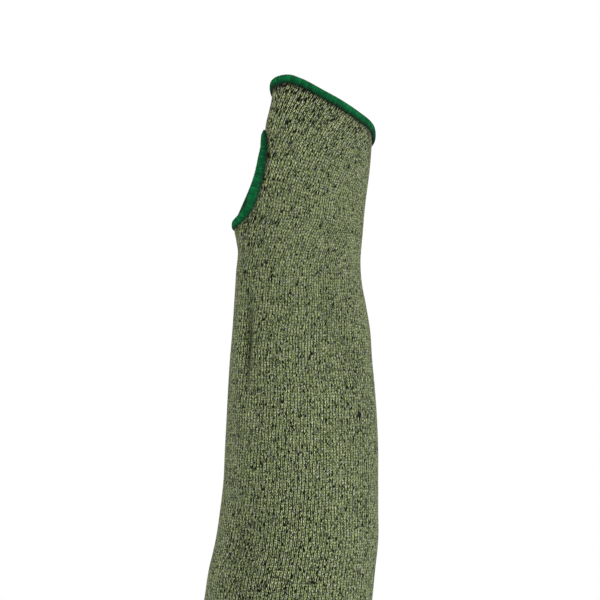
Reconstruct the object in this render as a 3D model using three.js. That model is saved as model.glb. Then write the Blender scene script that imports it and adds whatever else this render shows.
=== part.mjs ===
// Knitted cut resistant sleeve in its worn form: a hollow tube over hand, wrist and forearm,
// with a bound edge at the fingers, a bound thumb hole and a bound edge at the arm.
// Millimetres. +Z runs up the sleeve towards the fingers, -Y faces the viewer, the origin is
// the centre of the wrist.
import * as THREE from 'three';

// Named sizes.
const SLEEVE_LENGTH = 457;
const ARM_WIDTH = 98;
const ARM_DEPTH = 88;
const KNIT_THICKNESS = 1.6;
const EDGE_RISE = 42;
const THUMB_HOLE_LENGTH = 54.2;
const THUMB_HOLE_WIDTH = 28;
const BINDING_WALL = 0.9;
const BINDING_OVERLAP = 2.3;
const FIT_GAP = 0.45;
const FOLD_DEPTH = 1.6;
const FOLD_WIDTH = 5;

// Heights as shares of the sleeve's length, measured from the wrist: the highest point of the
// finger edge, the foot of the thumb hole, and where the courses below run level.
const TOP_OF_EDGE = 0.2457;
const THUMB_HOLE_FOOT = 0.0440;
const LEVEL_BELOW = -0.045;

// Where the thumb hole's middle line lies, as a share of a turn of the section.
const THUMB_LINE = 0.478;

// Mesh counts.
const COLUMNS = 48;
const HOLE_ROWS = 14;
const ROWS_BELOW = 20;
const ROWS_ABOVE = 5;

// One row per section. at: height as a share of the length. left, right: outer lines as shares
// of the arm's width. depth: full depth as a share of the arm's depth. back: centre line's
// shift to the rear, share of the depth. skew: share of a turn that leans the oval.
const SECTIONS = [
  { at: -0.760, left: -0.842, right: 0.290, depth: 1.170, back: 0.040, skew: 0.000 },
  { at: -0.640, left: -0.754, right: 0.363, depth: 1.150, back: 0.040, skew: 0.005 },
  { at: -0.540, left: -0.676, right: 0.420, depth: 1.120, back: 0.040, skew: 0.010 },
  { at: -0.463, left: -0.607, right: 0.459, depth: 1.090, back: 0.040, skew: 0.012 },
  { at: -0.424, left: -0.579, right: 0.477, depth: 1.075, back: 0.040, skew: 0.014 },
  { at: -0.383, left: -0.535, right: 0.497, depth: 1.060, back: 0.038, skew: 0.016 },
  { at: -0.342, left: -0.506, right: 0.497, depth: 1.040, back: 0.036, skew: 0.018 },
  { at: -0.301, left: -0.484, right: 0.497, depth: 1.015, back: 0.034, skew: 0.021 },
  { at: -0.260, left: -0.475, right: 0.497, depth: 0.985, back: 0.032, skew: 0.025 },
  { at: -0.220, left: -0.465, right: 0.490, depth: 0.945, back: 0.028, skew: 0.029 },
  { at: -0.179, left: -0.455, right: 0.477, depth: 0.895, back: 0.024, skew: 0.034 },
  { at: -0.138, left: -0.443, right: 0.459, depth: 0.835, back: 0.018, skew: 0.040 },
  { at: -0.098, left: -0.427, right: 0.446, depth: 0.770, back: 0.012, skew: 0.046 },
  { at: -0.057, left: -0.414, right: 0.414, depth: 0.705, back: 0.006, skew: 0.053 },
  { at: -0.037, left: -0.408, right: 0.396, depth: 0.680, back: 0.003, skew: 0.057 },
  { at: -0.016, left: -0.402, right: 0.386, depth: 0.664, back: 0.000, skew: 0.061 },
  { at: 0.004, left: -0.392, right: 0.386, depth: 0.660, back: 0.000, skew: 0.066 },
  { at: 0.025, left: -0.393, right: 0.395, depth: 0.668, back: -0.004, skew: 0.073 },
  { at: 0.042, left: -0.401, right: 0.402, depth: 0.686, back: -0.008, skew: 0.081 },
  { at: 0.064, left: -0.376, right: 0.411, depth: 0.708, back: -0.012, skew: 0.090 },
  { at: 0.086, left: -0.340, right: 0.423, depth: 0.735, back: -0.015, skew: 0.099 },
  { at: 0.106, left: -0.315, right: 0.436, depth: 0.750, back: -0.017, skew: 0.107 },
  { at: 0.128, left: -0.291, right: 0.448, depth: 0.760, back: -0.018, skew: 0.113 },
  { at: 0.150, left: -0.247, right: 0.456, depth: 0.766, back: -0.018, skew: 0.117 },
  { at: 0.166, left: -0.223, right: 0.464, depth: 0.768, back: -0.018, skew: 0.118 },
  { at: 0.182, left: -0.212, right: 0.473, depth: 0.770, back: -0.018, skew: 0.118 },
  { at: 0.201, left: -0.190, right: 0.481, depth: 0.770, back: -0.018, skew: 0.118 },
  { at: 0.215, left: -0.177, right: 0.487, depth: 0.768, back: -0.018, skew: 0.118 },
  { at: 0.250, left: -0.168, right: 0.503, depth: 0.764, back: -0.018, skew: 0.118 },
];

// The slanted finger edge. turn: share of a turn of the section. drop: how far the edge lies
// below its highest point, as a share of the edge's rise.
const FINGER_EDGE = [
  { turn: 0.000, drop: 0.880 },
  { turn: 0.060, drop: 0.935 },
  { turn: 0.125, drop: 0.940 },
  { turn: 0.190, drop: 0.890 },
  { turn: 0.250, drop: 0.780 },
  { turn: 0.320, drop: 0.620 },
  { turn: 0.390, drop: 0.440 },
  { turn: 0.450, drop: 0.270 },
  { turn: 0.500, drop: 0.160 },
  { turn: 0.545, drop: 0.080 },
  { turn: 0.592, drop: 0.020 },
  { turn: 0.630, drop: 0.000 },
  { turn: 0.662, drop: 0.040 },
  { turn: 0.690, drop: 0.090 },
  { turn: 0.740, drop: 0.222 },
  { turn: 0.790, drop: 0.360 },
  { turn: 0.845, drop: 0.497 },
  { turn: 0.876, drop: 0.572 },
  { turn: 0.917, drop: 0.665 },
  { turn: 0.948, drop: 0.745 },
  { turn: 0.982, drop: 0.835 },
];

// Folds and hollows in the worn knit. lowAt, highAt: heights as shares of the length. lowTurn,
// highTurn: shares of a turn there. depth, width: shares of the fold sizes, inwards positive.
const FOLDS = [
  { lowAt: -0.175, highAt: -0.018, lowTurn: 0.619, highTurn: 0.606, depth: 1.00, width: 0.75 },
  { lowAt: -0.175, highAt: -0.018, lowTurn: 0.585, highTurn: 0.570, depth: -0.45, width: 1.00 },
  { lowAt: -0.160, highAt: -0.030, lowTurn: 0.900, highTurn: 0.790, depth: 0.50, width: 1.10 },
  { lowAt: -0.215, highAt: -0.105, lowTurn: 0.935, highTurn: 0.850, depth: 0.45, width: 1.00 },
  { lowAt: -0.250, highAt: -0.195, lowTurn: 0.800, highTurn: 0.910, depth: 0.40, width: 0.90 },
  { lowAt: -0.520, highAt: -0.290, lowTurn: 0.660, highTurn: 0.640, depth: 0.70, width: 2.20 },
  { lowAt: 0.030, highAt: 0.100, lowTurn: 0.640, highTurn: 0.700, depth: 0.40, width: 1.40 },
  { lowAt: -0.140, highAt: 0.030, lowTurn: 0.180, highTurn: 0.260, depth: 0.70, width: 1.60 },
  { lowAt: -0.300, highAt: -0.120, lowTurn: 0.340, highTurn: 0.300, depth: 0.60, width: 1.80 },
];

const TURN = 2 * Math.PI;
const TOP_HEIGHT = TOP_OF_EDGE * SLEEVE_LENGTH;
const HOLE_FOOT = THUMB_HOLE_FOOT * SLEEVE_LENGTH;
const BINDING_LIP = FIT_GAP + BINDING_WALL;
const FOOT_HEIGHT = TOP_HEIGHT + BINDING_LIP - SLEEVE_LENGTH + BINDING_LIP;

// Smooth curve through one column of a table whose rows rise by the key column. It goes on a
// little way beyond the first and last rows, and is level after that.
function readTable(table, key, column, where) {
  const beyond = 0.2;
  const last = table.length - 1;
  let i = 0;
  while (i < last - 1 && where > table[i + 1][key]) i += 1;
  const slopeAt = (k) => {
    const a = table[Math.max(0, k - 1)];
    const b = table[Math.min(last, k + 1)];
    return (b[column] - a[column]) / (b[key] - a[key]);
  };
  const low = table[i];
  const high = table[i + 1];
  const span = high[key] - low[key];
  const s = Math.min(1 + beyond, Math.max(-beyond, (where - low[key]) / span));
  const s2 = s * s;
  const s3 = s2 * s;
  return low[column] * (2 * s3 - 3 * s2 + 1) + slopeAt(i) * span * (s3 - 2 * s2 + s)
    + high[column] * (3 * s2 - 2 * s3) + slopeAt(i + 1) * span * (s3 - s2);
}

function smoothStep(x) {
  const s = Math.min(1, Math.max(0, x));
  return s * s * (3 - 2 * s);
}

// The finger edge repeated one turn each way, so that its curve closes.
const EDGE_LOOP = [-1, 0, 1].flatMap((turns) => FINGER_EDGE.map(
  (row) => ({ turn: row.turn + turns, drop: row.drop }),
));

function edgeDrop(turn) {
  const within = turn - Math.floor(turn);
  return EDGE_RISE * readTable(EDGE_LOOP, 'turn', 'drop', within);
}

const MEAN_DROP = FINGER_EDGE.reduce((sum, row) => sum + row.drop, 0)
  * EDGE_RISE / FINGER_EDGE.length;
const MEAN_EDGE = TOP_HEIGHT - MEAN_DROP;
const LEVEL_HEIGHT = LEVEL_BELOW * SLEEVE_LENGTH;

// Height of a knitted course whose mean height is given, at a share of a turn.
function courseHeight(mean, turn) {
  const slant = smoothStep((mean - LEVEL_HEIGHT) / (MEAN_EDGE - LEVEL_HEIGHT));
  return mean + (MEAN_DROP - edgeDrop(turn)) * slant;
}

// A point of the plain section, before folds.
function sectionPoint(height, turn) {
  const at = height / SLEEVE_LENGTH;
  const left = ARM_WIDTH * readTable(SECTIONS, 'at', 'left', at);
  const right = ARM_WIDTH * readTable(SECTIONS, 'at', 'right', at);
  const depth = ARM_DEPTH * readTable(SECTIONS, 'at', 'depth', at);
  const back = ARM_DEPTH * readTable(SECTIONS, 'at', 'back', at);
  const skew = TURN * readTable(SECTIONS, 'at', 'skew', at);
  const angle = TURN * turn;
  const halfKnit = KNIT_THICKNESS / 2;
  return new THREE.Vector3(
    (left + right) / 2 + ((right - left) / 2 - halfKnit) * Math.cos(angle),
    back + (depth / 2 - halfKnit) * Math.sin(angle + skew),
    height,
  );
}

// A point of the knit's middle surface on a course, moved by the folds that cross it.
function knitPoint(mean, turn) {
  const height = courseHeight(mean, turn);
  const step = 0.002;
  const fadePower = 0.8;
  const point = sectionPoint(height, turn);
  const along = sectionPoint(height, turn + step).sub(sectionPoint(height, turn - step));
  const speed = along.length() / (2 * step);
  const outward = new THREE.Vector3(along.y, -along.x, 0).normalize();
  const at = height / SLEEVE_LENGTH;
  let inwards = 0;
  for (const fold of FOLDS) {
    const share = (at - fold.lowAt) / (fold.highAt - fold.lowAt);
    if (share <= 0 || share >= 1) continue;
    const centre = fold.lowTurn + (fold.highTurn - fold.lowTurn) * share;
    const turns = turn - centre - Math.round(turn - centre);
    const across = turns * speed / (fold.width * FOLD_WIDTH);
    const fade = Math.sin(Math.PI * share) ** fadePower;
    inwards += fold.depth * FOLD_DEPTH * fade * Math.exp(-across * across);
  }
  return point.addScaledVector(outward, -inwards);
}

// Points of one course at even steps of length, from one side of the thumb line to the other,
// starting and ending the given length away from that line.
function coursePoints(mean, open, count) {
  const samples = 240;
  const lengths = [0];
  let previous = knitPoint(mean, THUMB_LINE);
  for (let i = 1; i <= samples; i += 1) {
    const next = knitPoint(mean, THUMB_LINE + i / samples);
    lengths.push(lengths[i - 1] + next.distanceTo(previous));
    previous = next;
  }
  const total = lengths[samples];
  const points = [];
  let i = 0;
  for (let j = 0; j <= count; j += 1) {
    const target = open + (total - 2 * open) * j / count;
    while (i < samples - 1 && lengths[i + 1] < target) i += 1;
    const within = (target - lengths[i]) / (lengths[i + 1] - lengths[i]);
    points.push(knitPoint(mean, THUMB_LINE + (i + within) / samples));
  }
  return points;
}

// Mean height of the course that crosses the thumb line at a given height.
function meanForThumbHeight(height) {
  let low = height - EDGE_RISE;
  let high = height + EDGE_RISE;
  const halvings = 40;
  for (let i = 0; i < halvings; i += 1) {
    const middle = (low + high) / 2;
    if (courseHeight(middle, THUMB_LINE) < height) low = middle;
    else high = middle;
  }
  return (low + high) / 2;
}

// Every course of the mesh: mean height and half opening at the thumb line. The rows below the
// thumb hole crowd closer together towards it.
function listCourses() {
  const crowding = 1.35;
  const courses = [];
  const footMean = meanForThumbHeight(HOLE_FOOT);
  for (let i = 0; i < ROWS_BELOW; i += 1) {
    const share = 1 - (1 - i / ROWS_BELOW) ** crowding;
    courses.push({ mean: FOOT_HEIGHT + (footMean - FOOT_HEIGHT) * share, open: 0 });
  }
  for (let k = 0; k <= HOLE_ROWS; k += 1) {
    const share = (1 - Math.cos(Math.PI * k / HOLE_ROWS)) / 2;
    const height = HOLE_FOOT + THUMB_HOLE_LENGTH * share;
    const inside = k > 0 && k < HOLE_ROWS;
    const open = inside ? Math.sin(Math.PI * k / HOLE_ROWS) * THUMB_HOLE_WIDTH / 2 : 0;
    courses.push({ mean: meanForThumbHeight(height), open });
  }
  const headMean = courses[courses.length - 1].mean;
  for (let i = 1; i <= ROWS_ABOVE; i += 1) {
    courses.push({ mean: headMean + (MEAN_EDGE - headMean) * i / ROWS_ABOVE, open: 0 });
  }
  return courses;
}

// The knit's middle surface: a grid of vertices with one seam column shared wherever the
// thumb hole is closed.
function buildMiddleSurface() {
  const courses = listCourses();
  const points = [];
  const index = courses.map(({ mean, open }) => {
    const count = open > 0 ? COLUMNS + 1 : COLUMNS;
    const row = coursePoints(mean, open, COLUMNS).slice(0, count);
    const start = points.length;
    points.push(...row);
    return Array.from({ length: COLUMNS + 1 }, (_, j) => start + (j < count ? j : 0));
  });
  const faces = [];
  for (let i = 0; i + 1 < courses.length; i += 1) {
    for (let j = 0; j < COLUMNS; j += 1) {
      const a = index[i][j];
      const b = index[i][j + 1];
      const c = index[i + 1][j + 1];
      const d = index[i + 1][j];
      if (points[a].distanceTo(points[c]) < points[b].distanceTo(points[d])) {
        faces.push([a, b, c], [a, c, d]);
      } else {
        faces.push([a, b, d], [b, c, d]);
      }
    }
  }
  const normals = points.map(() => new THREE.Vector3());
  for (const [a, b, c] of faces) {
    const edge = points[b].clone().sub(points[a]);
    const normal = edge.cross(points[c].clone().sub(points[a]));
    for (const k of [a, b, c]) normals[k].add(normal);
  }
  normals.forEach((normal) => normal.normalize());
  return { courses, points, normals, index, faces };
}

function toMesh(name, points, faces, colour, roughness) {
  const geometry = new THREE.BufferGeometry();
  geometry.setAttribute('position', new THREE.Float32BufferAttribute(
    points.flatMap((point) => [point.x, point.y, point.z]), 3,
  ));
  geometry.setIndex(faces.flat());
  const material = new THREE.MeshStandardMaterial({ color: colour, roughness });
  const mesh = new THREE.Mesh(geometry, material);
  mesh.name = name;
  return mesh;
}

// The tube: the middle surface offset both ways, closed at both ends and along the thumb hole.
function buildKnit(surface) {
  const { points, normals, index, faces, courses } = surface;
  const count = points.length;
  const moved = (side) => points.map(
    (point, k) => point.clone().addScaledVector(normals[k], side * KNIT_THICKNESS / 2),
  );
  const all = [...moved(1), ...moved(-1)];
  const shell = [];
  for (const [a, b, c] of faces) {
    shell.push([a, b, c], [a + count, c + count, b + count]);
  }
  const rim = (a, b) => shell.push([a, b, b + count], [a, b + count, a + count]);
  const top = courses.length - 1;
  for (let j = 0; j < COLUMNS; j += 1) {
    rim(index[0][j + 1], index[0][j]);
    rim(index[top][j], index[top][j + 1]);
  }
  for (let i = 0; i < top; i += 1) {
    if (courses[i].open === 0 && courses[i + 1].open === 0) continue;
    rim(index[i][0], index[i + 1][0]);
    rim(index[i + 1][COLUMNS], index[i][COLUMNS]);
  }
  return toMesh('knit_sleeve', all, shell, 0x636b4f, 0.9);
}

// A binding: a rounded channel astride the knit's edge, its walls a fit gap away from it. The
// round of its back is given as shares: mouth, shoulder and crown of the half thickness, belly
// of the overlap, and the shoulder's height of the lip.
function buildBinding(name, surface, edge) {
  const round = { mouth: 0.96, belly: 0.35, shoulder: 0.78, shoulderHeight: 0.45, crown: 0.3 };
  const inner = KNIT_THICKNESS / 2 + FIT_GAP;
  const outer = inner + BINDING_WALL;
  const profile = [
    { out: -BINDING_OVERLAP, side: -outer * round.mouth },
    { out: -BINDING_OVERLAP * round.belly, side: -outer },
    { out: BINDING_LIP * round.shoulderHeight, side: -outer * round.shoulder },
    { out: BINDING_LIP, side: -outer * round.crown },
    { out: BINDING_LIP, side: outer * round.crown },
    { out: BINDING_LIP * round.shoulderHeight, side: outer * round.shoulder },
    { out: -BINDING_OVERLAP * round.belly, side: outer },
    { out: -BINDING_OVERLAP, side: outer * round.mouth },
    { out: -BINDING_OVERLAP, side: inner },
    { out: FIT_GAP, side: inner },
    { out: FIT_GAP, side: -inner },
    { out: -BINDING_OVERLAP, side: -inner },
  ];
  const points = [];
  edge.forEach((vertex, s) => {
    const before = surface.points[edge[(s + edge.length - 1) % edge.length]];
    const after = surface.points[edge[(s + 1) % edge.length]];
    const here = surface.points[vertex];
    const side = surface.normals[vertex];
    const forward = after.clone().sub(here).normalize();
    forward.add(here.clone().sub(before).normalize()).normalize();
    const out = side.clone().cross(forward).normalize();
    for (const row of profile) {
      points.push(here.clone().addScaledVector(out, row.out).addScaledVector(side, row.side));
    }
  });
  const count = profile.length;
  const faces = [];
  for (let s = 0; s < edge.length; s += 1) {
    const next = (s + 1) % edge.length;
    for (let k = 0; k < count; k += 1) {
      const a = s * count + k;
      const b = s * count + (k + 1) % count;
      const c = next * count + (k + 1) % count;
      const d = next * count + k;
      faces.push([a, b, c], [a, c, d]);
    }
  }
  return toMesh(name, points, faces, 0x155030, 0.7);
}

const surface = buildMiddleSurface();
const topRow = surface.index[surface.courses.length - 1].slice(0, COLUMNS);
const footRow = surface.index[0].slice(0, COLUMNS).reverse();
const holeRows = surface.index.slice(ROWS_BELOW, ROWS_BELOW + HOLE_ROWS + 1);
const frontLip = holeRows.map((row) => row[0]);
const backLip = holeRows.slice(1, -1).map((row) => row[COLUMNS]).reverse();

const sleeve = new THREE.Group();
sleeve.name = 'cut_resistant_sleeve';
sleeve.add(buildKnit(surface));
sleeve.add(buildBinding('hand_edge_binding', surface, topRow));
sleeve.add(buildBinding('thumb_hole_binding', surface, [...frontLip, ...backLip]));
sleeve.add(buildBinding('arm_edge_binding', surface, footRow));

export default sleeve;
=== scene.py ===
import math

import bmesh
import bpy
import numpy as np
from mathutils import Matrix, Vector


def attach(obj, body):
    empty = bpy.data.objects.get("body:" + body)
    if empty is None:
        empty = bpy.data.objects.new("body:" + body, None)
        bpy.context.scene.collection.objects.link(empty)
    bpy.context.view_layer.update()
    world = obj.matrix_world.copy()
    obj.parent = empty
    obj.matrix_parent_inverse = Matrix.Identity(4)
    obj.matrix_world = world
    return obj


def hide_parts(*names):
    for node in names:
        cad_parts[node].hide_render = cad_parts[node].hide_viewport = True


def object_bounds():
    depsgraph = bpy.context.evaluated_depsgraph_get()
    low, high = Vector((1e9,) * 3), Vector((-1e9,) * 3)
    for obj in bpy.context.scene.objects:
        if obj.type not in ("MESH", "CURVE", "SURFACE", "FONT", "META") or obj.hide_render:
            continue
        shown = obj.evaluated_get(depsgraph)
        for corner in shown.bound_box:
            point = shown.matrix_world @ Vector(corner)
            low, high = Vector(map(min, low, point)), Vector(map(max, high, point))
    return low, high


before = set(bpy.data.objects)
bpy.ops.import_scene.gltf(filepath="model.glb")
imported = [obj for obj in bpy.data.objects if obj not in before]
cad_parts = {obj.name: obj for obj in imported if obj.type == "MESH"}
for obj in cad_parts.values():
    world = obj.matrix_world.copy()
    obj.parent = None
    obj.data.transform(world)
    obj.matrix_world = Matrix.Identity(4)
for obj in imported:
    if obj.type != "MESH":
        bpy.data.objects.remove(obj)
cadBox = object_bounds()
print("frame loaded")


# Sizes in metres. The shares in the tables below follow the first three.
sleeve = dict(
    length=0.457,
    armWidth=0.098,
    armDepth=0.088,
    knitThickness=0.0015,
    topOfEdge=0.2457,
    edgeRise=0.042,
    levelBelow=-0.045,
    thumbLine=0.478,
    thumbFoot=0.0440,
    thumbLength=0.0542,
    thumbWidth=0.028,
    bindingLip=0.00135,
    foldDepth=0.0016,
    foldWidth=0.005,
    foldFade=0.8,
)

# height share, then left and right lines (arm width), depth and set-back (arm depth), lean of the oval
sectionRows = dict(
    columns=("at", "left", "right", "depth", "back", "skew"),
    rows=[
        (-0.760, -0.842, 0.290, 1.170, 0.040, 0.000),
        (-0.640, -0.754, 0.363, 1.150, 0.040, 0.005),
        (-0.540, -0.676, 0.420, 1.120, 0.040, 0.010),
        (-0.463, -0.607, 0.459, 1.090, 0.040, 0.012),
        (-0.424, -0.579, 0.477, 1.075, 0.040, 0.014),
        (-0.383, -0.535, 0.497, 1.060, 0.038, 0.016),
        (-0.342, -0.506, 0.497, 1.040, 0.036, 0.018),
        (-0.301, -0.484, 0.497, 1.015, 0.034, 0.021),
        (-0.260, -0.475, 0.497, 0.985, 0.032, 0.025),
        (-0.220, -0.465, 0.490, 0.945, 0.028, 0.029),
        (-0.179, -0.455, 0.477, 0.895, 0.024, 0.034),
        (-0.138, -0.443, 0.459, 0.835, 0.018, 0.040),
        (-0.098, -0.427, 0.446, 0.770, 0.012, 0.046),
        (-0.057, -0.414, 0.414, 0.705, 0.006, 0.053),
        (-0.037, -0.408, 0.396, 0.680, 0.003, 0.057),
        (-0.016, -0.402, 0.386, 0.664, 0.000, 0.061),
        (0.004, -0.392, 0.386, 0.660, 0.000, 0.066),
        (0.025, -0.393, 0.395, 0.668, -0.004, 0.073),
        (0.042, -0.401, 0.402, 0.686, -0.008, 0.081),
        (0.064, -0.376, 0.411, 0.708, -0.012, 0.090),
        (0.086, -0.340, 0.423, 0.735, -0.015, 0.099),
        (0.106, -0.315, 0.436, 0.750, -0.017, 0.107),
        (0.128, -0.291, 0.448, 0.760, -0.018, 0.113),
        (0.150, -0.247, 0.456, 0.766, -0.018, 0.117),
        (0.166, -0.223, 0.464, 0.768, -0.018, 0.118),
        (0.182, -0.212, 0.473, 0.770, -0.018, 0.118),
        (0.201, -0.190, 0.481, 0.770, -0.018, 0.118),
        (0.215, -0.177, 0.487, 0.768, -0.018, 0.118),
        (0.250, -0.168, 0.503, 0.764, -0.018, 0.118),
    ],
)

# share of a turn, drop below the highest point of the finger edge (edge rise)
fingerEdge = [
    (0.000, 0.870), (0.060, 0.935), (0.125, 0.940), (0.190, 0.890), (0.250, 0.780),
    (0.320, 0.620), (0.390, 0.440), (0.450, 0.270), (0.500, 0.165), (0.545, 0.090),
    (0.592, 0.050), (0.630, 0.045), (0.662, 0.085), (0.690, 0.135), (0.740, 0.255),
    (0.790, 0.370), (0.845, 0.500), (0.876, 0.570), (0.917, 0.650), (0.948, 0.715),
    (0.982, 0.810),
]
edgeLoop = dict(
    columns=("turn", "drop"),
    rows=[(turn + lap, drop) for lap in (-1, 0, 1) for turn, drop in fingerEdge],
)

# low height, high height, turn at each, depth and width: first the solid's own folds, then finer ones
foldRows = [
    (-0.175, -0.018, 0.619, 0.606, 1.00, 0.75),
    (-0.175, -0.018, 0.585, 0.570, -0.45, 1.00),
    (-0.160, -0.030, 0.900, 0.790, 0.50, 1.10),
    (-0.215, -0.105, 0.935, 0.850, 0.45, 1.00),
    (-0.250, -0.195, 0.800, 0.910, 0.40, 0.90),
    (-0.520, -0.290, 0.660, 0.640, 0.70, 2.20),
    (0.030, 0.100, 0.640, 0.700, 0.40, 1.40),
    (-0.140, 0.030, 0.180, 0.260, 0.70, 1.60),
    (-0.300, -0.120, 0.340, 0.300, 0.60, 1.80),
    (-0.192, -0.062, 0.616, 0.611, 1.60, 0.36),
    (-0.114, -0.048, 0.834, 0.784, 0.90, 0.34),
    (0.012, 0.070, 0.520, 0.545, -1.00, 1.40),
]

# The front lip of the thumb hole and its foot stand forwards of the section there.
# share: height as a share of the hole's length, then the pull on its front and back side.
thumbPull = dict(
    reach=0.0060,
    width=0.018,
    softening=0.004,
    softOver=0.1,
    columns=("share", "front", "back"),
    rows=[
        (-0.30, 0.00, 0.00), (-0.12, 0.45, 0.45), (0.02, 0.90, 0.90), (0.15, 1.00, 0.50),
        (0.35, 1.00, 0.00), (0.55, 0.75, 0.00), (0.75, 0.25, 0.00), (0.90, 0.00, 0.00),
        (1.20, 0.00, 0.00),
    ],
    slide=0.026,
    slideHeight=0.017,
    slideTurn=0.10,
)


# Smooth curve through one column of a table, going on a little way beyond its ends.
def readTable(table, column, where):
    beyond = 0.2
    rows = np.array(table["rows"])
    keys = rows[:, 0]
    values = rows[:, table["columns"].index(column)]
    last = len(keys) - 1
    before = np.maximum(np.arange(last + 1) - 1, 0)
    after = np.minimum(np.arange(last + 1) + 1, last)
    slopes = (values[after] - values[before]) / (keys[after] - keys[before])
    where = np.asarray(where, float)
    low = np.clip(np.searchsorted(keys, where, side="left") - 1, 0, last - 1)
    span = keys[low + 1] - keys[low]
    s = np.clip((where - keys[low]) / span, -beyond, 1 + beyond)
    return (
        values[low] * (2 * s**3 - 3 * s**2 + 1)
        + slopes[low] * span * (s**3 - 2 * s**2 + s)
        + values[low + 1] * (3 * s**2 - 2 * s**3)
        + slopes[low + 1] * span * (s**3 - s**2)
    )


def smoothStep(x):
    s = np.clip(x, 0, 1)
    return s * s * (3 - 2 * s)


# Signed share of a turn between two places on the section, the short way round.
def turnsFrom(line, turn):
    away = turn - line
    return away - np.round(away)


topHeight = sleeve["topOfEdge"] * sleeve["length"]
footHeight = topHeight + 2 * sleeve["bindingLip"] - sleeve["length"]
holeFoot = sleeve["thumbFoot"] * sleeve["length"]
meanDrop = sum(drop for _, drop in fingerEdge) / len(fingerEdge) * sleeve["edgeRise"]
meanEdge = topHeight - meanDrop


# Height of a knitted course at a share of a turn: level at the wrist, slanted at the finger edge.
def courseHeight(mean, turn):
    level = sleeve["levelBelow"] * sleeve["length"]
    drop = sleeve["edgeRise"] * readTable(edgeLoop, "drop", turn - np.floor(turn))
    return mean + (meanDrop - drop) * smoothStep((mean - level) / (meanEdge - level))


def sectionPoints(height, turn):
    at = height / sleeve["length"]
    left, right = (sleeve["armWidth"] * readTable(sectionRows, side, at) for side in ("left", "right"))
    depth, back = (sleeve["armDepth"] * readTable(sectionRows, side, at) for side in ("depth", "back"))
    angle = 2 * math.pi * turn
    skew = 2 * math.pi * readTable(sectionRows, "skew", at)
    halfKnit = sleeve["knitThickness"] / 2
    x = (left + right) / 2 + ((right - left) / 2 - halfKnit) * np.cos(angle)
    y = back + (depth / 2 - halfKnit) * np.sin(angle + skew)
    return np.stack([x, y, height], axis=-1)


# The foot of the thumb hole sits a little further round to the front.
def slideTurns(height, turn):
    fromLine = turnsFrom(sleeve["thumbLine"], turn)
    nearFoot = np.exp(-(((height - holeFoot) / thumbPull["slideHeight"]) ** 2))
    nearLine = np.exp(-((fromLine / thumbPull["slideTurn"]) ** 2))
    return turn + thumbPull["slide"] * nearFoot * nearLine


# Direction round the section, and metres to a whole turn there.
def aroundSection(height, turn):
    step = 0.002
    along = (sectionPoints(height, turn + step) - sectionPoints(height, turn - step)) / (2 * step)
    speed = np.linalg.norm(along, axis=-1)
    return along / speed[..., None], speed


# How far the folds sink the knit, in metres.
def foldInwards(height, turn, speed):
    at = height / sleeve["length"]
    inwards = np.zeros_like(at)
    for lowAt, highAt, lowTurn, highTurn, depth, width in foldRows:
        share = (at - lowAt) / (highAt - lowAt)
        centre = lowTurn + (highTurn - lowTurn) * share
        across = turnsFrom(centre, turn) * speed / (width * sleeve["foldWidth"])
        fade = np.sin(math.pi * np.clip(share, 0, 1)) ** sleeve["foldFade"]
        inwards += depth * sleeve["foldDepth"] * fade * np.exp(-across * across)
    return inwards


# Middle of the knit's wall on the course of that mean height.
def knitPoints(mean, turn):
    turn = slideTurns(courseHeight(mean, turn), turn)
    height = courseHeight(mean, turn)
    points = sectionPoints(height, turn)
    along, speed = aroundSection(height, turn)
    inwards = foldInwards(height, turn, speed)
    points[..., 0] -= along[..., 1] * inwards
    points[..., 1] += along[..., 0] * inwards
    points[..., 1] -= pullForwards(height, turn, speed)
    return points


def pullForwards(height, turn, speed):
    share = (height - holeFoot) / sleeve["thumbLength"]
    fromLine = turnsFrom(sleeve["thumbLine"], turn) * speed
    within = np.clip(share, 0, 1)
    opening = np.sqrt(within * (1 - within)) * sleeve["thumbWidth"]
    softening = thumbPull["softening"] * np.clip(1 - share / thumbPull["softOver"], 0, 1)
    fromLip = np.hypot(np.maximum(np.abs(fromLine) - opening, 0), softening)
    shareIn = np.clip(share, thumbPull["rows"][0][0], thumbPull["rows"][-1][0])
    front, back = (readTable(thumbPull, side, shareIn) for side in ("front", "back"))
    strength = np.where(fromLine >= 0, front, back)
    fade = np.maximum(1 - fromLip / thumbPull["width"], 0) ** 2
    return thumbPull["reach"] * np.maximum(strength, 0) * fade


# Turns that part a course evenly, from one lip of the thumb hole to the other.
def evenTurns(mean, opening, shares):
    sampleCount = 721
    samples = sleeve["thumbLine"] + np.linspace(0, 1, sampleCount)
    line = knitPoints(np.full_like(samples, mean), samples)
    lengths = np.concatenate([[0], np.cumsum(np.linalg.norm(np.diff(line, axis=0), axis=1))])
    targets = opening + (lengths[-1] - 2 * opening) * np.asarray(shares)
    return np.interp(targets, lengths, samples), lengths[-1]


# Mean height of the course that reaches a height on the thumb hole's line.
def meanForThumbHeight(height):
    halvings = 40
    low, high = height - sleeve["edgeRise"], height + sleeve["edgeRise"]
    for _ in range(halvings):
        middle = (low + high) / 2
        if float(courseHeight(np.array(middle), np.array(sleeve["thumbLine"]))) < height:
            low = middle
        else:
            high = middle
    return (low + high) / 2


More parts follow.
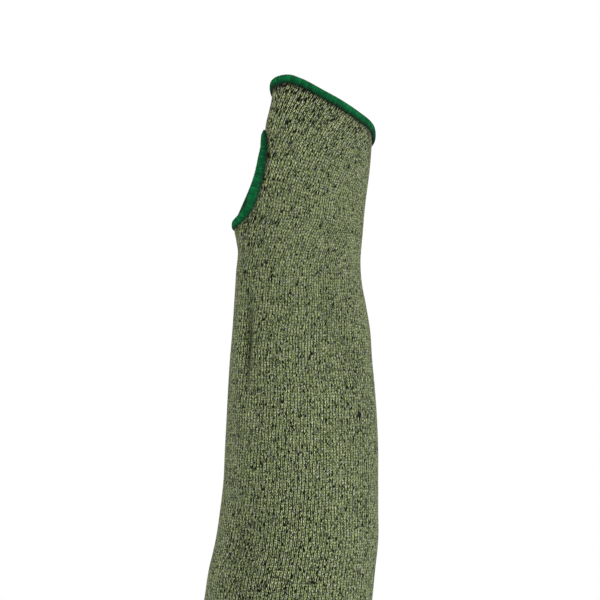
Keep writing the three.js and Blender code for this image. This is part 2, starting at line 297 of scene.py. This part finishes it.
# Mean height and half opening of each mesh row; more rows where the thumb hole is.
def listCourses(rowsBelow, rowsHole, rowsAbove):
    crowding = 1.1
    footMean = meanForThumbHeight(holeFoot)
    courses = []
    for i in range(rowsBelow):
        share = 1 - (1 - i / rowsBelow) ** crowding
        courses.append((footHeight + (footMean - footHeight) * share, 0.0))
    for k in range(rowsHole + 1):
        angle = math.pi * k / rowsHole
        height = holeFoot + sleeve["thumbLength"] * (1 - math.cos(angle)) / 2
        opening = math.sin(angle) * sleeve["thumbWidth"] / 2 if 0 < k < rowsHole else 0.0
        courses.append((meanForThumbHeight(height), opening))
    headMean = courses[-1][0]
    for i in range(1, rowsAbove + 1):
        courses.append((headMean + (meanEdge - headMean) * i / rowsAbove, 0.0))
    return courses


# Row and column of each vertex of a fresh grid.
def gridPlaces(bm):
    columns = {x: i for i, x in enumerate(sorted({round(v.co.x, 5) for v in bm.verts}))}
    rows = {y: i for i, y in enumerate(sorted({round(v.co.y, 5) for v in bm.verts}))}
    return {v: (rows[round(v.co.y, 5)], columns[round(v.co.x, 5)]) for v in bm.verts}


# Merges the doubled rims of a rolled grid and turns its faces outwards.
def closeSeams(bm):
    bmesh.ops.remove_doubles(bm, verts=bm.verts, dist=1e-6)
    bmesh.ops.recalc_face_normals(bm, faces=bm.faces)


def finishPiece(name, bm, material, node):
    mesh = bpy.data.meshes.new(name)
    bm.to_mesh(mesh)
    bm.free()
    mesh.polygons.foreach_set("use_smooth", [True] * len(mesh.polygons))
    mesh.materials.append(material)
    piece = bpy.data.objects.new(name, mesh)
    bpy.context.scene.collection.objects.link(piece)
    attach(piece, "root")
    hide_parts(node)
    return piece


def linearColour(hexCode):
    parts = [int(hexCode[i:i + 2], 16) / 255 for i in (1, 3, 5)]
    return [c / 12.92 if c <= 0.04045 else ((c + 0.055) / 1.055) ** 2.4 for c in parts] + [1.0]


def addNode(tree, kind, inputs=None, **settings):
    node = tree.nodes.new(kind)
    for name, value in settings.items():
        setattr(node, name, value)
    for key, value in (inputs or {}).items():
        if isinstance(value, bpy.types.NodeSocket):
            tree.links.new(value, node.inputs[key])
        else:
            node.inputs[key].default_value = value
    return node


def newMaterial(name):
    material = bpy.data.materials.new(name)
    material.use_nodes = True
    material.node_tree.nodes.clear()
    return material, material.node_tree


# Marled jersey: khaki and grey-green plies knitted in fine loops with a black filament.
# The eye sees upright columns of small V legs with painted shade in the grooves between, flecked in
# drifting patches.
marlYarn = dict(
    plies=[
        (0.00, "#262e20"), (0.12, "#7e8c5c"), (0.34, "#a2b177"), (0.60, "#c3d090"),
        (0.82, "#e0e5bc"), (0.92, "#a3a7a6"),
    ],
    filament="#0a0d07",
    # colour of the painted shade in the grooves, beside the bindings and in the folds
    hollow="#0d1208",
    legRise=0.95,
    strandTurns=2.4,
    legFlecks=(0.0, 0.4),
    strandFlecks=(0.070, 1.5),
    fleckDrift=0.05,
    driftFrom=0.40,
    driftTo=0.68,
    drawnOut=(0.5, 0.5, 1.2),
    roundAt=0.8,
    grooveFrom=0.28,
    grooveTo=0.43,
    grooveShade=0.02,
    legShade=0.12,
    courseShade=0.1,
    streakLength=10,
    streakOffset=7.31,
    streakDepth=0.15,
    wobbleSize=0.008,
    wobbleShift=(0.5, 2.4, 0.0),
    patchSize=0.007,
    bumpHeight=0.00030,
    besideBinding=0.25,
)


def makeMarledJersey():
    material, tree = newMaterial("marledJerseyKnit")
    stitch = addNode(tree, "ShaderNodeUVMap", uv_map="stitches").outputs[0]
    place = addNode(tree, "ShaderNodeTexCoord").outputs["Object"]
    wobble = addNode(tree, "ShaderNodeTexNoise", {
        "Vector": place, "Scale": 1 / marlYarn["wobbleSize"], "Detail": 2.0,
    }).outputs["Color"]
    centred = addNode(tree, "ShaderNodeVectorMath", {0: wobble, 1: (0.5, 0.5, 0.5)},
                      operation="SUBTRACT").outputs[0]
    shift = addNode(tree, "ShaderNodeVectorMath", {0: centred, 1: marlYarn["wobbleShift"]},
                    operation="MULTIPLY").outputs[0]
    moved = addNode(tree, "ShaderNodeVectorMath", {0: stitch, 1: shift}, operation="ADD").outputs[0]
    parts = addNode(tree, "ShaderNodeSeparateXYZ", {0: moved}).outputs
    wale, course = parts[0], parts[1]

    # half a wale is one leg; its distance from the middle of the wale lifts it into a V
    halfWale = addNode(tree, "ShaderNodeMath", {0: wale, 1: 2.0}, operation="MULTIPLY").outputs[0]
    leg = addNode(tree, "ShaderNodeMath", {0: halfWale}, operation="FLOOR").outputs[0]
    acrossWale = addNode(tree, "ShaderNodeMath", {0: wale}, operation="FRACT").outputs[0]
    fromMiddle = addNode(tree, "ShaderNodeMath", {0: acrossWale, 1: 0.5},
                         operation="SUBTRACT").outputs[0]
    fromMiddle = addNode(tree, "ShaderNodeMath", {0: fromMiddle}, operation="ABSOLUTE").outputs[0]
    rise = addNode(tree, "ShaderNodeMath", {0: fromMiddle, 1: 2 * marlYarn["legRise"]},
                   operation="MULTIPLY").outputs[0]
    phase = addNode(tree, "ShaderNodeMath", {0: course, 1: rise}, operation="SUBTRACT").outputs[0]
    row = addNode(tree, "ShaderNodeMath", {0: phase}, operation="FLOOR").outputs[0]

    # round legs with painted shade between them, darkest between wales and where the rows overlap; the
    # same relief drives the bump
    shades = []
    for share, low in ((halfWale, marlYarn["legShade"]), (phase, marlYarn["courseShade"])):
        arc = addNode(tree, "ShaderNodeMath", {0: share, 1: math.pi}, operation="MULTIPLY").outputs[0]
        arc = addNode(tree, "ShaderNodeMath", {0: arc}, operation="SINE").outputs[0]
        arc = addNode(tree, "ShaderNodeMath", {0: arc}, operation="ABSOLUTE").outputs[0]
        shades.append(addNode(tree, "ShaderNodeMapRange", {
            0: arc, 1: 0.0, 2: marlYarn["roundAt"], 3: low, 4: 1.0,
        }).outputs[0])
    groove = addNode(tree, "ShaderNodeMapRange", {
        0: fromMiddle, 1: marlYarn["grooveFrom"], 2: marlYarn["grooveTo"],
        3: 1.0, 4: marlYarn["grooveShade"],
    }).outputs[0]
    reliefAndShade = addNode(tree, "ShaderNodeMath", {0: shades[0], 1: shades[1]},
                     operation="MULTIPLY").outputs[0]
    reliefAndShade = addNode(tree, "ShaderNodeMath", {0: reliefAndShade, 1: groove}, operation="MULTIPLY").outputs[0]

    # black where the filament comes up: in whole legs and in single strands of a leg, in patches
    cell = addNode(tree, "ShaderNodeCombineXYZ", {0: leg, 1: row, 2: 3.0}).outputs[0]
    legChance = addNode(tree, "ShaderNodeTexWhiteNoise", {"Vector": cell},
                        noise_dimensions="3D").outputs["Value"]
    drawnOut = addNode(tree, "ShaderNodeVectorMath", {0: place, 1: marlYarn["drawnOut"]},
                       operation="MULTIPLY").outputs[0]
    patch = addNode(tree, "ShaderNodeTexNoise", {
        "Vector": drawnOut, "Scale": 1 / marlYarn["patchSize"], "Detail": 3.0, "Roughness": 0.6,
    }).outputs[0]
    # this share adds black flecks; by the finger edge they also stand in for painted shade under the
    # binding
    wearAndShade = addNode(tree, "ShaderNodeAttribute", attribute_name="wearAndShade").outputs["Fac"]
    drift = addNode(tree, "ShaderNodeMapRange", {
        0: patch, 1: marlYarn["driftFrom"], 2: marlYarn["driftTo"], 3: 0.0, 4: marlYarn["fleckDrift"],
    }).outputs[0]
    drift = addNode(tree, "ShaderNodeMath", {0: drift, 1: wearAndShade}, operation="ADD").outputs[0]
    strand = addNode(tree, "ShaderNodeMath", {0: wale, 1: 4.0}, operation="MULTIPLY").outputs[0]
    strand = addNode(tree, "ShaderNodeMath", {0: strand}, operation="FLOOR").outputs[0]
    longCell = addNode(tree, "ShaderNodeCombineXYZ", {0: strand, 1: row, 2: 8.0}).outputs[0]
    strandChance = addNode(tree, "ShaderNodeTexWhiteNoise", {"Vector": longCell},
                           noise_dimensions="3D").outputs[0]
    flecks = []
    for draw, (share, drifting) in (
        (legChance, marlYarn["legFlecks"]),
        (strandChance, marlYarn["strandFlecks"]),
    ):
        limit = addNode(tree, "ShaderNodeMath", {0: drift, 1: drifting, 2: share},
                        operation="MULTIPLY_ADD").outputs[0]
        flecks.append(addNode(tree, "ShaderNodeMath", {0: draw, 1: limit},
                              operation="LESS_THAN").outputs[0])
    black = addNode(tree, "ShaderNodeMath", {0: flecks[0], 1: flecks[1]},
                    operation="MAXIMUM").outputs[0]

    # elsewhere each short stretch of a strand shows one of the plies
    twist = addNode(tree, "ShaderNodeMath", {0: phase, 1: marlYarn["strandTurns"]},
                    operation="MULTIPLY").outputs[0]
    twist = addNode(tree, "ShaderNodeMath", {0: twist}, operation="FLOOR").outputs[0]
    strandCell = addNode(tree, "ShaderNodeCombineXYZ", {0: strand, 1: twist, 2: 5.0}).outputs[0]
    tone = addNode(tree, "ShaderNodeTexWhiteNoise", {"Vector": strandCell},
                   noise_dimensions="3D").outputs[0]
    ramp = addNode(tree, "ShaderNodeValToRGB", {0: tone})
    ramp.color_ramp.interpolation = "CONSTANT"
    elements = ramp.color_ramp.elements
    for position, hexCode in marlYarn["plies"]:
        element = elements[0] if position == 0 else elements.new(position)
        element.position = position
        element.color = linearColour(hexCode)
    elements.remove(elements[len(marlYarn["plies"])])
    plied = addNode(tree, "ShaderNodeMix", {
        "Factor": black, 6: ramp.outputs[0], 7: linearColour(marlYarn["filament"]),
    }, data_type="RGBA").outputs[2]

    # legs along one wale run lighter or darker together for a while
    streakStart = addNode(tree, "ShaderNodeMath", {0: leg, 1: marlYarn["streakOffset"]},
                          operation="MULTIPLY").outputs[0]
    streakRow = addNode(tree, "ShaderNodeMath", {
        0: course, 1: 1 / marlYarn["streakLength"], 2: streakStart,
    }, operation="MULTIPLY_ADD").outputs[0]
    streakRow = addNode(tree, "ShaderNodeMath", {0: streakRow}, operation="FLOOR").outputs[0]
    streakCell = addNode(tree, "ShaderNodeCombineXYZ", {0: leg, 1: streakRow, 2: 2.0}).outputs[0]
    streak = addNode(tree, "ShaderNodeTexWhiteNoise", {"Vector": streakCell},
                     noise_dimensions="3D").outputs[0]
    streak = addNode(tree, "ShaderNodeMapRange", {
        0: streak, 3: 1.0 - marlYarn["streakDepth"], 4: 1.0,
    }).outputs[0]
    light = addNode(tree, "ShaderNodeMath", {0: reliefAndShade, 1: streak}, operation="MULTIPLY").outputs[0]

    # painted shade on the knit pulled in tight beside a binding, under its roll, and on the knit sunk
    # in a fold
    dim = addNode(tree, "ShaderNodeAttribute", attribute_name="dim").outputs["Fac"]
    unshaded = addNode(tree, "ShaderNodeMapRange", {
        0: dim, 3: 1.0, 4: marlYarn["besideBinding"],
    }).outputs[0]
    light = addNode(tree, "ShaderNodeMath", {0: light, 1: unshaded}, operation="MULTIPLY").outputs[0]
    # the plies are mixed towards the painted shade colour where the light share is low
    colour = addNode(tree, "ShaderNodeMix", {
        "Factor": light, 6: linearColour(marlYarn["hollow"]), 7: plied,
    }, data_type="RGBA").outputs[2]
    bump = addNode(tree, "ShaderNodeBump", {
        "Height": reliefAndShade, "Distance": marlYarn["bumpHeight"], "Strength": 0.7,
    })
    shader = addNode(tree, "ShaderNodeBsdfPrincipled", {
        "Base Color": colour, "Normal": bump.outputs[0], "Roughness": 0.88, "IOR": 1.5,
        "Specular IOR Level": 0.12, "Sheen Weight": 0.03, "Sheen Roughness": 0.5,
    })
    addNode(tree, "ShaderNodeOutputMaterial", {"Surface": shader.outputs[0]})
    return material


# Overlock thread: spun polyester laid close over the edge, a soft dark green with a slight shine.
overlockThread = dict(
    dark="#003a1e",
    middle="#02703a",
    light="#10a65c",
    # colour of the painted shade on the crest, by the knit and between the threads
    edge="#011a14",
    toneSize=0.0025,
    chanceShare=0.30,
    toneFrom=0.20,
    toneTo=1.10,
    crest=9 / 23,
    crestFrom=0.02,
    crestTo=0.22,
    crestShade=0.25,
    lapFrom=0.27,
    lapTo=0.39,
    lapShade=0.18,
    betweenFrom=0.1,
    betweenTo=0.8,
    betweenShade=0.15,
)


def makeOverlockThread():
    material, tree = newMaterial("spunOverlockThread")
    place = addNode(tree, "ShaderNodeTexCoord").outputs["Object"]
    thread = addNode(tree, "ShaderNodeUVMap", uv_map="threads").outputs[0]
    along, around = addNode(tree, "ShaderNodeSeparateXYZ", {0: thread}).outputs[:2]
    strand = addNode(tree, "ShaderNodeMath", {0: along}, operation="FLOOR").outputs[0]
    chance = addNode(tree, "ShaderNodeTexWhiteNoise", {"W": strand},
                     noise_dimensions="1D").outputs["Value"]
    tone = addNode(tree, "ShaderNodeTexNoise", {
        "Vector": place, "Scale": 1 / overlockThread["toneSize"], "Detail": 3.0,
    }).outputs[0]
    mixed = addNode(tree, "ShaderNodeMath", {0: chance, 1: overlockThread["chanceShare"], 2: tone},
                    operation="MULTIPLY_ADD").outputs[0]
    shade = addNode(tree, "ShaderNodeMapRange", {
        0: mixed, 1: overlockThread["toneFrom"], 2: overlockThread["toneTo"],
    }).outputs[0]
    ramp = addNode(tree, "ShaderNodeValToRGB", {0: shade})
    for element, side in zip(ramp.color_ramp.elements, ("dark", "light")):
        element.color = linearColour(overlockThread[side])
    middle = ramp.color_ramp.elements.new(0.5)
    middle.color = linearColour(overlockThread["middle"])

    # painted shade along the crest, where it meets the knit and between the threads
    fromCrest = addNode(tree, "ShaderNodeMath", {0: around, 1: overlockThread["crest"]},
                        operation="SUBTRACT").outputs[0]
    fromCrest = addNode(tree, "ShaderNodeMath", {0: fromCrest}, operation="ABSOLUTE").outputs[0]
    crest = addNode(tree, "ShaderNodeMapRange", {
        0: fromCrest, 1: overlockThread["crestFrom"], 2: overlockThread["crestTo"],
        3: overlockThread["crestShade"], 4: 1.0,
    }, interpolation_type="SMOOTHSTEP").outputs[0]
    lap = addNode(tree, "ShaderNodeMapRange", {
        0: fromCrest, 1: overlockThread["lapFrom"], 2: overlockThread["lapTo"],
        3: 1.0, 4: overlockThread["lapShade"],
    }, interpolation_type="SMOOTHSTEP").outputs[0]
    between = addNode(tree, "ShaderNodeMath", {0: along}, operation="FRACT").outputs[0]
    between = addNode(tree, "ShaderNodeMath", {0: between, 1: math.pi}, operation="MULTIPLY").outputs[0]
    between = addNode(tree, "ShaderNodeMath", {0: between}, operation="SINE").outputs[0]
    between = addNode(tree, "ShaderNodeMapRange", {
        0: between, 1: overlockThread["betweenFrom"], 2: overlockThread["betweenTo"],
        3: overlockThread["betweenShade"], 4: 1.0,
    }).outputs[0]
    lit = addNode(tree, "ShaderNodeMath", {0: crest, 1: lap}, operation="MULTIPLY").outputs[0]
    lit = addNode(tree, "ShaderNodeMath", {0: lit, 1: between}, operation="MULTIPLY").outputs[0]
    colour = addNode(tree, "ShaderNodeMix", {
        "Factor": lit, 6: linearColour(overlockThread["edge"]), 7: ramp.outputs[0],
    }, data_type="RGBA").outputs[2]
    shader = addNode(tree, "ShaderNodeBsdfPrincipled", {
        "Base Color": colour, "Roughness": 0.75, "IOR": 1.5,
        "Specular IOR Level": 0.1, "Sheen Weight": 0.02, "Sheen Roughness": 0.5,
    })
    addNode(tree, "ShaderNodeOutputMaterial", {"Surface": shader.outputs[0]})
    return material


# The knitted tube: a grid of rows and columns, rolled up, with the thumb hole left open.
knitTube = dict(
    columns=150,
    rowsBelow=168,
    rowsHole=44,
    rowsAbove=20,
    wales=130,
    courseHeight=0.00162,
    waleLean=0.15,
    leanBelow=0.02,
    leanPower=2.5,
    dimFrom=0.0036,
    dimOver=0.0028,
    foldShade=0.36,
    deepest=1.5,
)

# Added shares of black flecks, and where: towards the finger edge, on the right,
# in the middle low down and beside the thumb hole. Heights and widths in metres.
wornParts = dict(
    # towards the finger edge the added flecks also stand in for painted shade under the binding
    edge=0.20,
    edgeReach=0.008,
    right=0.01,
    rightFrom=0.010,
    rightOver=0.03,
    low=0.03,
    lowBelow=-0.110,
    lowOver=0.09,
    lowLine=-0.025,
    lowReach=0.034,
    hole=0.06,
    holeAbove=0.012,
    holeOver=0.02,
    holeLine=-0.030,
    holeReach=0.009,
)

# Worn patches: height share, turn, reach of each, added share of black flecks
wornPatches = [
    (-0.214, 0.880, 0.007, 0.045, 0.17),
    (0.185, 0.800, 0.050, 0.300, 0.045),
    (-0.150, 0.870, 0.030, 0.030, 0.06),
    (-0.330, 0.900, 0.080, 0.030, 0.05),
    (-0.060, 0.880, 0.030, 0.030, 0.06),
    (0.035, 0.583, 0.022, 0.030, 0.12),
    (-0.012, 0.620, 0.020, 0.035, 0.04),
]


def wearAndShadeAt(mean, turns, points):
    part = wornParts
    x = points[:, 0]
    nearEdge = np.exp(-(meanEdge - mean) / part["edgeReach"])
    onRight = smoothStep((x - part["rightFrom"]) / part["rightOver"])
    lowDown = smoothStep((part["lowBelow"] - mean) / part["lowOver"])
    lowDown = lowDown * np.exp(-(((x - part["lowLine"]) / part["lowReach"]) ** 2))
    besideHole = np.exp(-(((x - part["holeLine"]) / part["holeReach"]) ** 2))
    besideHole = besideHole * smoothStep((mean - part["holeAbove"]) / part["holeOver"])
    # the flecks by the finger edge are partly painted shade under the binding
    wearAndShade = part["edge"] * nearEdge + part["right"] * onRight
    wearAndShade = wearAndShade + part["low"] * lowDown + part["hole"] * besideHole
    for at, turn, heightReach, turnReach, amount in wornPatches:
        up = (points[:, 2] / sleeve["length"] - at) / heightReach
        side = turnsFrom(turn, turns) / turnReach
        wearAndShade += amount * np.exp(-(up * up + side * side))
    return wearAndShade


# Shade beside the bindings and in the folds; fromLips is the way along the knit to the hole's lips.
def dimAt(mean, turns, points, fromLips, holeMeans):
    share = (mean - holeMeans[0]) / (holeMeans[1] - holeMeans[0])
    past = max(-share, share - 1, 0.0) * sleeve["thumbLength"]
    fromBinding = np.minimum(np.hypot(fromLips, past), min(meanEdge - mean, mean - footHeight))
    beside = 1 - smoothStep((fromBinding - knitTube["dimFrom"]) / knitTube["dimOver"])
    _, speed = aroundSection(points[:, 2], turns)
    sunk = foldInwards(points[:, 2], turns, speed) / sleeve["foldDepth"]
    return np.maximum(beside, knitTube["foldShade"] * np.clip(sunk, 0, knitTube["deepest"]))


def makeKnitTube(material):
    courses = listCourses(knitTube["rowsBelow"], knitTube["rowsHole"], knitTube["rowsAbove"])
    bm = bmesh.new()
    bmesh.ops.create_grid(bm, x_segments=knitTube["columns"], y_segments=len(courses) - 1, size=1.0)
    uvLayer = bm.loops.layers.uv.new("stitches")
    wearAndShadeLayer = bm.verts.layers.float.new("wearAndShade")
    dimLayer = bm.verts.layers.float.new("dim")
    places = gridPlaces(bm)
    across = np.linspace(0, 1, 1 + max(j for _, j in places.values()))
    holeMeans = courses[knitTube["rowsBelow"]][0], courses[-1 - knitTube["rowsAbove"]][0]
    print("knit grid", len(courses), "by", len(across))

    rows = []
    for mean, opening in courses:
        turns, around = evenTurns(mean, opening, across)
        points = knitPoints(np.full_like(turns, mean), turns)
        shareAround = (opening + (around - 2 * opening) * across) / around
        upwards = max(0.0, (mean + knitTube["leanBelow"]) / (meanEdge + knitTube["leanBelow"]))
        lean = knitTube["waleLean"] * upwards ** knitTube["leanPower"]
        wales = knitTube["wales"] * (shareAround - lean * np.sin(math.pi * shareAround))
        course = (mean - footHeight) / knitTube["courseHeight"]
        fromLips = (around - 2 * opening) * np.minimum(across, 1 - across)
        wearAndShade = wearAndShadeAt(mean, turns, points)
        dim = dimAt(mean, turns, points, fromLips, holeMeans)
        rows.append((points, wales, course, wearAndShade, dim))

    for face in bm.faces:
        for loop in face.loops:
            i, j = places[loop.vert]
            loop[uvLayer].uv = (rows[i][1][j], rows[i][2])
    for v, (i, j) in places.items():
        points, _, _, wearAndShade, dim = rows[i]
        v.co = Vector(points[j])
        v[wearAndShadeLayer] = wearAndShade[j]
        v[dimLayer] = dim[j]
    closeSeams(bm)
    piece = finishPiece("knitSleeve", bm, material, "knit_sleeve")
    wall = piece.modifiers.new("wall", "SOLIDIFY")
    wall.thickness = sleeve["knitThickness"]
    wall.offset = 0.0
    wall.use_even_offset = True
    return piece


# Overlock binding: close threads over the knit's edge, in a rounded channel.
binding = dict(
    overlap=0.0032,
    halfThickness=0.0021,
    innerHalf=0.0010,
    seat=0.0003,
    lip=0.0014,
    threadPitch=0.0009,
    threadHeight=0.00022,
    stationsPerThread=4,
    slant=3.0,
    arcSteps=12,
    roundness=0.8,
    lap=[(0.35, 0.98, 1.0), (0.7, 0.85, 1.0), (1.0, 0.60, 0.6)],
    levelSamples=240,
    holeSamples=120,
)


# Channel outline as (outward, sideways, how much thread shows), from the outer lap round to
# the inner walls.
def bindingOutline():
    overlap, half, inner = binding["overlap"], binding["halfThickness"], binding["innerHalf"]
    steps = binding["arcSteps"]
    outline = [(-overlap * reach, -side * half, show) for reach, side, show in reversed(binding["lap"])]
    for k in range(steps + 1):
        angle = math.pi * k / steps - math.pi / 2
        outward = binding["lip"] * math.cos(angle) ** binding["roundness"] if 0 < k < steps else 0.0
        outline.append((outward, half * math.sin(angle), 1.0))
    outline += [(-overlap * reach, side * half, show) for reach, side, show in binding["lap"]]
    outline += [(-overlap, inner, 0.0), (binding["seat"], inner, 0.0)]
    outline += [(binding["seat"], -inner, 0.0), (-overlap, -inner, 0.0)]
    return np.array(outline)


# Out of the edge, along the knit.
def edgeDirections(points, normals):
    forward = np.roll(points, -1, axis=0) - np.roll(points, 1, axis=0)
    out = np.cross(normals, forward)
    return out / np.linalg.norm(out, axis=1)[:, None]


def resampleLoop(values, lengths, targets):
    closed = np.vstack([values, values[:1]])
    return np.stack([np.interp(targets, lengths, closed[:, k]) for k in range(3)], axis=1)


def loopLengths(points):
    steps = np.linalg.norm(np.roll(points, -1, axis=0) - points, axis=1)
    return np.concatenate([[0], np.cumsum(steps)])


# loopAt gives the points and normals of the knit on a line set in from its edge. Each ring of
# the channel swells with the threads, which are wound on a slant.
def makeBinding(name, node, loopAt, material, fullness=1.0):
    edge, edgeNormals = loopAt(0.0)
    lengths = loopLengths(edge)
    threads = round(lengths[-1] / binding["threadPitch"])
    stations = threads * binding["stationsPerThread"]
    targets = np.linspace(0, lengths[-1], stations, endpoint=False)
    points = resampleLoop(edge, lengths, targets)
    normals = resampleLoop(edgeNormals, lengths, targets)
    out = edgeDirections(points, normals)
    outline = bindingOutline() * (fullness, fullness, 1.0)
    rings = []
    for k, (outward, sideways, show) in enumerate(outline):
        wrap = np.arange(stations) / binding["stationsPerThread"] + binding["slant"] * k / len(outline)
        crests = np.cos(2 * math.pi * wrap)
        swell = (1 + show * binding["threadHeight"] / binding["halfThickness"] * crests)[:, None]
        if outward < 0:
            insetPoints, insetNormals = loopAt(-outward)
            base = resampleLoop(insetPoints, lengths, targets)
            side = resampleLoop(insetNormals, lengths, targets)
            rings.append(base + side * sideways * swell)
        else:
            rings.append(points + out * outward * swell + normals * sideways * swell)
    bm = bmesh.new()
    bmesh.ops.create_grid(bm, x_segments=stations, y_segments=len(outline), size=1.0)
    uvLayer = bm.loops.layers.uv.new("threads")
    places = gridPlaces(bm)
    for face in bm.faces:
        for loop in face.loops:
            k, station = places[loop.vert]
            wrap = station / binding["stationsPerThread"] + binding["slant"] * k / len(outline)
            loop[uvLayer].uv = (wrap, k / len(outline))
    for v, (k, station) in places.items():
        v.co = Vector(rings[k % len(outline)][station % stations])
    closeSeams(bm)
    return finishPiece(name, bm, material, node)


def knitNormals(mean, turn):
    turnStep, heightStep = 0.004, 0.001
    around = knitPoints(mean, turn + turnStep) - knitPoints(mean, turn - turnStep)
    up = knitPoints(mean + heightStep, turn) - knitPoints(mean - heightStep, turn)
    normals = np.cross(around, up)
    return normals / np.linalg.norm(normals, axis=-1)[..., None]


def courseLoop(mean, order):
    shares = np.linspace(0, 1, binding["levelSamples"], endpoint=False)
    turns = evenTurns(mean, 0.0, shares)[0][::order]
    means = np.full_like(turns, mean)
    return knitPoints(means, turns), knitNormals(means, turns)


def handEdgeLoop(inset):
    return courseLoop(meanEdge - inset, 1)


# Runs the other way round, so that out of the edge points down.
def armEdgeLoop(inset):
    return courseLoop(footHeight + inset, -1)


def thumbHoleLoop(inset):
    steps = binding["holeSamples"]
    halfLength, halfWidth = sleeve["thumbLength"] / 2, sleeve["thumbWidth"] / 2
    means, turns = [], []
    for k in range(steps):
        angle = 2 * math.pi * k / steps
        up, side = -halfWidth * math.cos(angle), halfLength * math.sin(angle)
        scale = inset / math.hypot(up, side)
        height = holeFoot + halfLength * (1 - math.cos(angle)) + up * scale
        opening = halfWidth * math.sin(angle) + side * scale
        mean = meanForThumbHeight(height)
        turn, _ = evenTurns(mean, abs(opening), [0.0 if opening >= 0 else 1.0])
        means.append(mean)
        turns.append(turn[0])
    means, turns = np.array(means), np.array(turns)
    return knitPoints(means, turns), knitNormals(means, turns)


# Studio: white floor and surroundings, soft even light, level camera with a long lens.
studio = dict(
    metresPerPixel=0.00062,
    imageSize=600,
    wristColumn=299.5,
    wristRow=258.0,
    cameraDistance=2.4,
    sensorMillimetres=36.0,
    farthest=20,
    floorSize=1.3,
    floorGap=0.001,
    surroundLight=0.72,
    surroundSeen=1.0,
    aim=(0, 0, -0.03),
    lights=[
        ("softLeft", (-1.2, -1.1, 0.9), 0.9, 7.5),
        ("softRight", (1.5, -0.5, 0.4), 0.8, 12.0),
        ("softBack", (0.2, 1.4, 1.0), 0.9, 9.0),
    ],
)


def makeStudio(lowest):
    scene = bpy.context.scene
    scene.view_settings.view_transform = "Standard"
    scene.view_settings.look = "None"
    middle = studio["imageSize"] / 2 - 0.5
    centreX = (middle - studio["wristColumn"]) * studio["metresPerPixel"]
    centreZ = (studio["wristRow"] - middle) * studio["metresPerPixel"]
    cameraData = bpy.data.cameras.new("camera")
    cameraData.sensor_width = studio["sensorMillimetres"]
    seen = studio["imageSize"] * studio["metresPerPixel"]
    cameraData.lens = cameraData.sensor_width * studio["cameraDistance"] / seen
    cameraData.clip_end = studio["farthest"]
    camera = bpy.data.objects.new("camera", cameraData)
    camera.location = (centreX, -studio["cameraDistance"], centreZ)
    camera.rotation_euler = (math.pi / 2, 0, 0)
    scene.collection.objects.link(camera)
    scene.camera = camera

    bm = bmesh.new()
    bmesh.ops.create_grid(bm, x_segments=1, y_segments=1, size=studio["floorSize"])
    bmesh.ops.translate(bm, verts=bm.verts, vec=(0, 0, lowest - studio["floorGap"]))
    mesh = bpy.data.meshes.new("floor")
    bm.to_mesh(mesh)
    bm.free()
    material, tree = newMaterial("matteWhitePaper")
    shader = addNode(tree, "ShaderNodeBsdfPrincipled", {
        "Base Color": linearColour("#f8f8f7"), "Roughness": 0.9,
    })
    addNode(tree, "ShaderNodeOutputMaterial", {"Surface": shader.outputs[0]})
    mesh.materials.append(material)
    floor = bpy.data.objects.new("floor", mesh)
    scene.collection.objects.link(floor)

    world = bpy.data.worlds.new("studio")
    world.use_nodes = True
    tree = world.node_tree
    tree.nodes.clear()
    ray = addNode(tree, "ShaderNodeLightPath").outputs["Is Camera Ray"]
    strength = addNode(tree, "ShaderNodeMapRange", {
        0: ray, 3: studio["surroundLight"], 4: studio["surroundSeen"],
    }).outputs[0]
    background = addNode(tree, "ShaderNodeBackground", {
        "Color": (1, 1, 1, 1), "Strength": strength,
    })
    addNode(tree, "ShaderNodeOutputWorld", {"Surface": background.outputs[0]})
    scene.world = world

    for name, place, size, energy in studio["lights"]:
        lightData = bpy.data.lights.new(name, "AREA")
        lightData.shape = "DISK"
        lightData.size = size
        lightData.energy = energy
        light = bpy.data.objects.new(name, lightData)
        light.location = place
        aim = Vector(studio["aim"]) - Vector(place)
        light.rotation_euler = aim.to_track_quat("-Z", "Y").to_euler()
        scene.collection.objects.link(light)


makeStudio(min(corner[2] for corner in cadBox))
print("studio set")

jersey = makeMarledJersey()
thread = makeOverlockThread()
print("yarn and thread mixed")

knitSleeve = makeKnitTube(jersey)
print("tube knitted")

handEdge = makeBinding("handEdgeBinding", "hand_edge_binding", handEdgeLoop, thread, 1.12)
thumbEdge = makeBinding("thumbHoleBinding", "thumb_hole_binding", thumbHoleLoop, thread, 1.12)
armEdge = makeBinding("armEdgeBinding", "arm_edge_binding", armEdgeLoop, thread)
print("edges bound")
